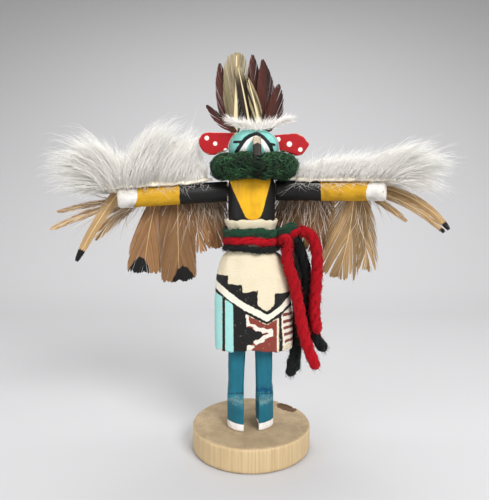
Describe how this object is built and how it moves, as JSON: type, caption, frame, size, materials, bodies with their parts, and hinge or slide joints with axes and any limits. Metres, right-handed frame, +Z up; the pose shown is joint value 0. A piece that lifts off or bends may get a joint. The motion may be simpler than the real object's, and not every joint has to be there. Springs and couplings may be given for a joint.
{
  "type": "kachina doll",
  "caption": "Carved and painted wooden eagle dancer doll on a branch slice, with felt kilt, yarn sash, wool ruff, fur along the outstretched arms and feather wings and crest.",
  "frame": {"origin": "middle of the base underside", "axes": "+Z up, the figure faces -Y, +X to the right as seen from the front"},
  "size_m": [0.1495, 0.0451, 0.1537],
  "materials": {
    "base_wood": "bare sawn wood",
    "painted_wood": "brushed matt paint in teal, black, yellow, white, turquoise and red",
    "beak_wood": "dark stain over bare wood",
    "ruff_wool": "fuzzy wool",
    "kilt_felt": "painted felt",
    "green_yarn": "soft twisted wool yarn",
    "red_yarn": "soft twisted wool yarn",
    "black_yarn": "soft twisted wool yarn",
    "fur": "long soft fur on thin hide",
    "tan_feather": "soft feather, some with a black end",
    "brown_feather": "soft feather",
    "barred_feather": "soft striped feather",
    "white_feather": "downy feather"
  },
  "bodies": {
    "root": {"base": "base_wood", "figure": "painted_wood", "beak": "beak_wood", "left_ear": "painted_wood", "left_arm": "painted_wood", "right_ear": "painted_wood", "right_arm": "painted_wood", "ruff": "ruff_wool", "kilt": "kilt_felt", "green_band": "green_yarn", "red_band": "red_yarn", "black_band": "black_yarn", "sash_knot": "green_yarn", "red_tail_outer": "red_yarn", "red_tail_inner": "red_yarn", "black_tail_outer": "black_yarn", "black_tail_inner": "black_yarn", "green_tail_outer": "green_yarn", "green_tail_inner": "green_yarn", "left_fur": "fur", "right_fur": "fur", "left_feather_1": "tan_feather", "left_feather_2": "tan_feather", "left_feather_3": "tan_feather", "left_feather_4": "tan_feather", "left_feather_5": "tan_feather", "left_feather_6": "tan_feather", "left_feather_7": "tan_feather", "left_feather_8": "tan_feather", "right_feather_1": "tan_feather", "right_feather_2": "tan_feather", "right_feather_3": "tan_feather", "right_feather_4": "tan_feather", "right_feather_5": "tan_feather", "right_feather_6": "tan_feather", "right_feather_7": "tan_feather", "right_feather_8": "tan_feather", "crest_feather_1": "brown_feather", "crest_feather_2": "barred_feather", "crest_feather_3": "barred_feather", "crest_feather_4": "barred_feather", "crest_feather_5": "brown_feather", "crest_feather_6": "brown_feather", "crest_feather_7": "brown_feather", "crest_feather_8": "brown_feather", "crest_down": "white_feather"}
  },
  "joints": []
}
